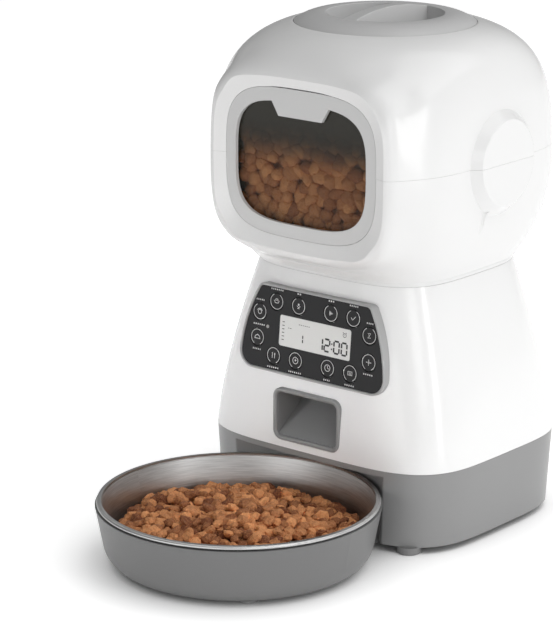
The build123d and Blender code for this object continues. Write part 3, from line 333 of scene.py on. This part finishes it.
# %% Window and display finishes
material, tree, shader = new_material("smoked window")
place = add_node(tree, "ShaderNodeTexCoord").outputs["Object"]
split = add_node(tree, "ShaderNodeSeparateXYZ")
tree.links.new(place, split.inputs["Vector"])
lens_low, lens_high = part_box("window_lens")
smoke = add_node(tree, "ShaderNodeMapRange")
smoke.inputs["From Min"].default_value = lens_low.z + 0.036
smoke.inputs["From Max"].default_value = lens_high.z - 0.012
smoke.inputs["To Min"].default_value = 0.24
smoke.inputs["To Max"].default_value = 0.90
smoke.interpolation_type = "SMOOTHSTEP"
tree.links.new(split.outputs["Z"], smoke.inputs["Value"])
tree.links.new(smoke.outputs["Result"], shader.inputs["Alpha"])
shader.inputs["Base Color"].default_value = (0.020, 0.018, 0.012, 1)
shader.inputs["Roughness"].default_value = 0.05
shader.inputs["Specular IOR Level"].default_value = 0.35
finishes["smoked_lens"] = material

material, tree, shader = new_material("display glass")
# painted light: the display glass glows evenly in its own colour
for socket in ("Base Color", "Emission Color"):
    shader.inputs[socket].default_value = (0.45, 0.45, 0.44, 1)
shader.inputs["Emission Strength"].default_value = 0.42
shader.inputs["Roughness"].default_value = 0.12
shader.inputs["Coat Weight"].default_value = 0.5
finishes["display"] = material

# %% Dress the CAD nodes
for entry in frame["record"]["subparts"]:
    coat = finishes.get(entry["node"], finishes[entry["material_slot"]])
    mesh = nodes[entry["node"]].data
    mesh.materials.clear()
    mesh.materials.append(coat)
print("dressed", len(nodes), "nodes")

# %% [markdown]
# ## Dry food
#
# Kibble is dough cut by a die and baked, so the pieces are alike in size but each is bent and lumpy in
# its own way, with a rough, grainy skin. Four different pieces are modelled from a ball of few faces,
# pushed out of shape at random, thinned to a few dozen faces, and then copied hundreds of times. Each
# copy gets its own turn, size and tone, and the tone is stored on its faces for the material to read.

# %% Four pieces of kibble
KIBBLE_FACES = 50


def kibble_shape(seed, stretch):
    """Lumpy pillow about 1 unit across, as a mesh."""
    bpy.ops.object.select_all(action="DESELECT")
    bpy.ops.mesh.primitive_ico_sphere_add(subdivisions=2, radius=0.5)
    ball = bpy.context.object
    bpy.ops.object.mode_set(mode="EDIT")
    bpy.ops.mesh.select_all(action="SELECT")
    bpy.ops.transform.resize(value=stretch)
    bpy.ops.transform.vertex_random(offset=0.2, seed=seed)
    bpy.ops.mesh.vertices_smooth(factor=0.25)
    bpy.ops.object.mode_set(mode="OBJECT")
    bpy.ops.object.modifier_add(type="DECIMATE")
    ball.modifiers[0].ratio = KIBBLE_FACES / len(ball.data.polygons)
    bpy.ops.object.modifier_apply(modifier=ball.modifiers[0].name)
    mesh = ball.data
    bpy.data.objects.remove(ball)
    return mesh


shapes = [
    kibble_shape(3, (1.15, 0.95, 0.62)),
    kibble_shape(8, (1.0, 1.05, 0.7)),
    kibble_shape(14, (1.3, 0.85, 0.66)),
    kibble_shape(21, (0.95, 0.9, 0.78)),
]
print("kibble faces:", [len(shape.polygons) for shape in shapes])


def heap(name, spots, body, lean=0.0, smooth=False):
    """One mesh of kibbles; spots are (place, size, tone), in metres, and lean tips them on edge."""
    whole = bmesh.new()
    tones = whole.faces.layers.float.new("tone")
    for place, size, tone in spots:
        before = len(whole.faces)
        whole.from_mesh(random.choice(shapes))
        whole.faces.ensure_lookup_table()
        fresh = whole.faces[before:]
        corners = {vert for face in fresh for vert in face.verts}
        spin = Matrix.Rotation(random.uniform(0, math.tau), 4, "Z")
        tip = Matrix.Rotation(random.uniform(-0.9, 0.9), 4, random.choice("XY"))
        edge = Matrix.Rotation(lean, 4, "X")
        put = Matrix.Translation(place) @ edge @ spin @ tip @ Matrix.Scale(size, 4)
        for vert in corners:
            vert.co = put @ vert.co
        for face in fresh:
            face[tones] = tone
            face.smooth = smooth
    mesh = bpy.data.meshes.new(name)
    whole.to_mesh(mesh)
    whole.free()
    piece = bpy.data.objects.new(name, mesh)
    bpy.context.scene.collection.objects.link(piece)
    mesh.materials.append(finishes[name])
    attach(piece, body)
    print(name, len(spots), "kibbles,", len(mesh.polygons), "faces")
    return piece


# %% Baked skin
DARKEST, PALEST = 0.25, 0.885


def baked(name, dark, light):
    """Grainy baked dough whose depth of colour follows each kibble's tone."""
    material, tree, shader = new_material(name)
    place = add_node(tree, "ShaderNodeTexCoord").outputs["Object"]
    tone = add_node(tree, "ShaderNodeAttribute", attribute_name="tone")
    crumbs = add_node(tree, "ShaderNodeTexNoise", Scale=900.0, Detail=4.0, Roughness=0.7)
    tree.links.new(place, crumbs.inputs["Vector"])
    both = add_node(tree, "ShaderNodeMath", operation="MULTIPLY_ADD")
    both.inputs[1].default_value = 0.75
    tree.links.new(crumbs.outputs["Fac"], both.inputs[0])
    tree.links.new(tone.outputs["Fac"], both.inputs[2])
    ramp = add_node(tree, "ShaderNodeValToRGB")
    ramp.color_ramp.elements[0].position = DARKEST
    ramp.color_ramp.elements[0].color = (*dark, 1)
    ramp.color_ramp.elements[1].position = PALEST
    ramp.color_ramp.elements[1].color = (*light, 1)
    tree.links.new(both.outputs["Value"], ramp.inputs["Fac"])
    tree.links.new(ramp.outputs["Color"], shader.inputs["Base Color"])
    lumps = add_node(tree, "ShaderNodeTexNoise", Scale=420.0, Detail=3.0)
    tree.links.new(place, lumps.inputs["Vector"])
    rise = add_node(tree, "ShaderNodeMath", operation="ADD")
    tree.links.new(crumbs.outputs["Fac"], rise.inputs[0])
    tree.links.new(lumps.outputs["Fac"], rise.inputs[1])
    bump = add_node(tree, "ShaderNodeBump", Strength=0.9, Distance=0.9 * MM)
    tree.links.new(rise.outputs["Value"], bump.inputs["Height"])
    tree.links.new(bump.outputs["Normal"], shader.inputs["Normal"])
    shader.inputs["Roughness"].default_value = 0.72
    return material


finishes["bowl_food"] = baked("baked food", (0.18, 0.05, 0.014), (0.90, 0.40, 0.16))
# the food in the tank is the same dough in paler colours: painted light inside the closed tank
finishes["tank_food"] = baked("tank food with painted light", (0.34, 0.10, 0.03), (0.92, 0.42, 0.16))

# %% [markdown]
# ## Food in the bowl
#
# The heap is highest near the middle and meets the steel wall well under the rim. Only its skin can
# be seen, so two layers of kibble on a loose grid are enough: the lower one closes the gaps of the
# upper one. These pieces are left with sharp faces, because broken edges are what one sees of them.

# %% Fill the bowl
random.seed(11)
FOOD_SIZE = 8.4 * MM
FOOD_STEP = 6.4 * MM
PEAK = bowl_high.z - 9 * MM
EDGE = bowl_high.z - 20 * MM
REACH = (bowl_high.x - bowl_low.x) / 2 - 12.5 * MM


def heap_top(x, y):
    """Height of the heap's surface over a point of the bowl's plan."""
    share = math.hypot(x, y) / REACH
    ripple = 1.2 * MM * math.sin(x * 90) * math.cos(y * 70)
    return PEAK - (PEAK - EDGE) * share ** 2 - 0.03 * x + ripple


def grid_spots(step, reach):
    """Loose grid of plan points within a circle."""
    count = int(reach / step) + 1
    for row in range(-count, count + 1):
        for column in range(-count, count + 1):
            x = (column + 0.5 * (row % 2) + random.uniform(-0.28, 0.28)) * step
            y = (row * 0.87 + random.uniform(-0.28, 0.28)) * step
            if math.hypot(x, y) < reach:
                yield x, y


spots = []
for depth, reach in ((5.5 * MM, REACH - 3 * MM), (1 * MM, REACH - 1 * MM)):
    for x, y in grid_spots(FOOD_STEP, reach):
        height = heap_top(x, y) - depth + random.uniform(-2.2, 2.2) * MM
        place = Vector((bowl_axis.x + x, bowl_axis.y + y, height))
        spots.append((place, FOOD_SIZE * random.uniform(0.8, 1.15), random.uniform(-0.1, 0.5)))
heap("bowl_food", spots, "bowl")

# %% [markdown]
# ## Food in the tank
#
# Through the window one sees the kibble that leans on the lens, and above it the heap's top running
# back into the dark. Two upright layers are set behind the lens and one flat layer on top. The pieces
# are tipped on edge, so that their broad faces press against the lens, as they do in a full tank.

# %% Fill the tank
TANK_BACK = lens_high.y + 6.5 * MM
TANK_TOP = lens_low.z + 62 * MM
TANK_SPREAD = 78 * MM
TANK_DEPTH = 66 * MM
LENS_HALF = 54 * MM
spots = []
for depth in (7 * MM, 0.0):
    for x, up in grid_spots(7.8 * MM, TANK_SPREAD):
        z = lens_low.z + 20 * MM + up
        if abs(x) > LENS_HALF or not lens_low.z < z < TANK_TOP:
            continue
        place = Vector((x, TANK_BACK + depth + random.uniform(-1, 1) * MM, z))
        spots.append((place, 10.8 * MM * random.uniform(0.86, 1.14), random.uniform(-0.05, 0.45)))
for across, back in grid_spots(9.0 * MM, TANK_SPREAD):
    if abs(across) < LENS_HALF + 2 * MM and back > -TANK_DEPTH:
        y = TANK_BACK + TANK_DEPTH + back
        place = Vector((across, y, TANK_TOP + random.uniform(-1.5, 1.5) * MM))
        spots.append((place, 11 * MM * random.uniform(0.86, 1.14), random.uniform(-0.05, 0.4)))
heap("tank_food", spots, "root", lean=math.radians(80), smooth=True)

# %% [markdown]
# ## Prints on the key panel
#
# The marks on the keys are pad-printed in pale ink: a thin ring that is open towards the key's
# label, and a small picture inside it. Each mark is drawn as a few lines on a flat sheet, in
# millimetres, as bevelled curves that are turned into a mesh, pressed almost flat, and laid on the
# key's face. A print rides on its own key, so it sinks when the key is pressed.

# %% Print helpers
press = next(joint for joint in frame["joints"] if joint["name"] == "key_01_press")
panel_out = -Vector(press["axis"]).normalized()
panel_up = panel_out.cross(Vector((1, 0, 0)))


def face_height(node):
    """Distance of a node's outermost point along the panel's outward direction."""
    return max(vert.co.dot(panel_out) for vert in nodes[node].data.vertices)


def on_face(centre, height):
    """Matrix that lays a flat drawing in millimetres on the panel, centred over a point."""
    flat = centre - panel_out * centre.dot(panel_out) + panel_out * (height + 0.015 * MM)
    lay = Matrix((Vector((1, 0, 0)), panel_up, panel_out)).transposed().to_4x4()
    return Matrix.Translation(flat) @ lay @ Matrix.Scale(MM, 4)


def printed(name, lines, lay, body, ink):
    """Piece made of drawn lines; each line is (points, width), in millimetres."""
    bpy.ops.object.select_all(action="DESELECT")
    drawn = []
    for points, width in lines:
        curve = bpy.data.curves.new(name, "CURVE")
        curve.dimensions = "3D"
        curve.bevel_depth = width / 2
        curve.bevel_resolution = 1
        curve.use_fill_caps = True
        closed = len(points) > 2 and points[0] == points[-1]
        kept = points[:-1] if closed else points
        spline = curve.splines.new("POLY")
        spline.points.add(len(kept) - 1)
        for knot, (x, y) in zip(spline.points, kept):
            knot.co = (x, y, 0, 1)
        spline.use_cyclic_u = closed
        line = bpy.data.objects.new(name, curve)
        bpy.context.scene.collection.objects.link(line)
        line.select_set(True)
        drawn.append(line)
    bpy.context.view_layer.objects.active = drawn[0]
    bpy.ops.object.convert(target="MESH")
    bpy.ops.object.join()
    piece = bpy.context.object
    piece.name = name
    bpy.ops.object.mode_set(mode="EDIT")
    bpy.ops.mesh.select_all(action="SELECT")
    bpy.ops.transform.resize(value=(1, 1, 0.12))
    bpy.ops.object.mode_set(mode="OBJECT")
    piece.data.transform(lay)
    piece.data.materials.clear()
    piece.data.materials.append(finishes[ink])
    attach(piece, body)
    return piece


def arc(radius, start, end, centre=(0, 0), count=20):
    """Points of an arc; angles in degrees."""
    turns = [math.radians(start + (end - start) * step / count) for step in range(count + 1)]
    return [(centre[0] + radius * math.cos(t), centre[1] + radius * math.sin(t)) for t in turns]


def ring(radius, centre=(0, 0)):
    points = arc(radius, 0, 360, centre)
    return points[:-1] + points[:1]


finishes["print_white"] = plastic("pale ink", (0.74, 0.74, 0.74), 0.5, shade=0.1, swirl=300.0)
finishes["print_dark"] = plastic("display ink", (0.012, 0.012, 0.012), 0.45, shade=0.1, swirl=300.0)

# %% Pictures for the keys
THIN, MID, BOLD = 0.3, 0.42, 0.75
pictures = {
    "key_01": [([(-1.9, 0.5), (1.9, 0.5), (1.2, -0.9), (-1.2, -0.9), (-1.9, 0.5)], MID),
               (arc(1.1, 20, 160, (0, 0.5), 8), MID)],
    "key_02": [([(-1.6, 0.1), (-0.4, -1.1), (1.8, 1.2)], MID)],
    "key_03": [([(0, 1.5), (0, 0.3)], 1.2), (arc(1.3, 200, 340, (0, 0.6), 8), THIN),
               ([(0, -0.7), (0, -1.4)], THIN), ([(-0.8, -1.5), (0.8, -1.5)], THIN)],
    "key_04": [([(-0.9, 1.3), (-0.9, -1.3), (1.4, 0), (-0.9, 1.3)], MID),
               ([(-0.5, 0.5), (-0.5, -0.5), (0.5, 0), (-0.5, 0.5)], BOLD)],
    "key_05": [(ring(1.3, (0, -0.2)), MID), (arc(2.0, 20, 160, (0, -0.2), 10), MID)],
    "key_06": [([(-1, 1.4), (1, 1.4), (-1, -1.4), (1, -1.4), (-1, 1.4)], MID)],
    "key_07": [(arc(1.9, 0, 180, (0, -0.6), 12), MID), ([(-2.3, -0.9), (2.3, -0.9)], MID),
               ([(0, 1.4), (0, 1.7)], MID)],
    "key_08": [(ring(0.5, (0, 0)), MID), ([(-2.0, 0), (-1.1, 0)], MID), ([(1.1, 0), (2.0, 0)], MID),
               ([(0, 1.0), (0, 1.8)], MID), ([(0, -1.0), (0, -1.8)], MID)],
    "key_09": [([(-0.9, 1.7), (-0.9, -1.7)], MID), ([(0.9, 1.7), (0.9, -1.7)], MID),
               ([(0.9, 1.5), (0.9, 0.3)], BOLD), ([(-1.3, 1.5), (-0.5, 1.5)], THIN)],
    "key_10": [([(-1.6, 1.1), (1.6, 1.1), (1.6, -1.1), (-1.6, -1.1), (-1.6, 1.1)], MID),
               ([(-0.9, 0.3), (0.9, 0.3)], THIN), ([(-0.9, -0.4), (0.9, -0.4)], THIN)],
    "key_11": [(ring(2.0), MID), ([(0, 0), (0, 1.2)], MID), ([(0, 0), (0.9, 0)], MID),
               (ring(0.4), THIN)],
    "key_12": [(ring(2.0), MID), ([(0, 0), (0, 1.3)], MID), ([(0, 0), (1.1, -0.5)], MID)],
}
UPPER_KEYS = {"key_01", "key_02", "key_03", "key_04", "key_05", "key_06"}
for key, lines in pictures.items():
    start = 118 if key in UPPER_KEYS else 298
    circle = (arc(4.75, start, start + 304, count=30), 0.38)
    lay = on_face(middle(key), face_height(key))
    printed(f"{key}_print", [circle] + lines, lay, key, "print_white")
print("printed", len(pictures), "keys")

# %% [markdown]
# ## Words and figures
#
# The small words beside the keys are left out: a row of short dashes stands for each, of the word's
# length. The display shows a clock at twelve, a portion number, a bell and a ladder of small bars. Its
# figures are built from seven segments, as a liquid crystal draws them.

# %% Labels beside the keys
corner_keys = ("key_01", "key_02", "key_09", "key_10")
panel_centre = sum((middle(key) for key in corner_keys), Vector()) / len(corner_keys)
LABEL_OFFSET = 7.4
LABELS = {
    "key_01": 10.0, "key_02": 7.0, "key_03": 3.4, "key_04": 4.8, "key_05": 6.8, "key_06": 5.4,
    "key_07": 6.8, "key_08": 7.6, "key_09": 9.4, "key_10": 7.8, "key_11": 10.4, "key_12": 5.4,
}


def panel_point(point):
    """Place of a point in the panel's own plane, in millimetres from its middle."""
    from_middle = point - panel_centre
    return from_middle.x / MM, from_middle.dot(panel_up) / MM


def dashes(x, y, length, width=0.95):
    """Row of short dashes, centred on a point."""
    count = max(round(length / 1.5), 2)
    step = length / count
    start = x - length / 2
    return [([(start + step * k + 0.35, y), (start + step * (k + 1) - 0.35, y)], width)
            for k in range(count)]


lines = []
for key, length in LABELS.items():
    x, y = panel_point(middle(key))
    side = LABEL_OFFSET if key in UPPER_KEYS else -LABEL_OFFSET
    lines += dashes(x, y + side, length)
lines += dashes(-42.2, 0.5, 9.5)
plate_lay = on_face(panel_centre, face_height("panel_plate"))
printed("panel_labels", lines, plate_lay, "root", "print_white")
print("labels:", len(LABELS), "words as", len(lines), "dashes")

# %% Figures of the display
SEGMENTS = {
    "a": ((0, 1), (1, 1)), "b": ((1, 1), (1, 0.5)), "c": ((1, 0.5), (1, 0)), "d": ((0, 0), (1, 0)),
    "e": ((0, 0.5), (0, 0)), "f": ((0, 1), (0, 0.5)), "g": ((0, 0.5), (1, 0.5)),
}
DIGITS = {"0": "abcdef", "1": "bc", "2": "abged"}


def digit(figure, x, y, width, height, stroke):
    """Seven-segment figure centred on a point, its segments a little apart."""
    made = []
    for name in DIGITS[figure]:
        ends = [Vector((x + (u - 0.5) * width, y + (v - 0.5) * height)) for u, v in SEGMENTS[name]]
        inward = (ends[1] - ends[0]).normalized() * stroke * 0.36
        made.append(([tuple(ends[0] + inward), tuple(ends[1] - inward)], stroke))
    return made


lines = []
for figure, x in (("1", 5.2), ("2", 10.7), ("0", 18.0), ("0", 23.8)):
    lines += digit(figure, x, -3.3, 4.0, 7.4, 1.15)
lines += [([(14.35, y), (14.35, y - 0.9)], 1.0) for y in (-1.3, -4.5)]
lines += digit("1", -9.2, -3.0, 2.2, 5.2, 0.85)
lines += dashes(-7.5, 5.4, 9.0, 0.45) + dashes(-18.5, 2.0, 3.2, 0.45)
for step in range(6):
    lines.append(([(-24.4, 5.2 - 2.2 * step), (-22.6, 5.2 - 2.2 * step)], 0.5))
bell = (23.6, 5.2)
lines += [(ring(1.2, bell), 0.35), ([bell, (23.6, 5.9)], 0.3),
          ([(22.2, 6.5), (22.8, 7.0)], 0.4), ([(24.4, 7.0), (25.0, 6.5)], 0.4)]
glass_lay = on_face(panel_centre, face_height("display"))
printed("display_figures", lines, glass_lay, "root", "print_dark")
print("display:", len(lines), "strokes")
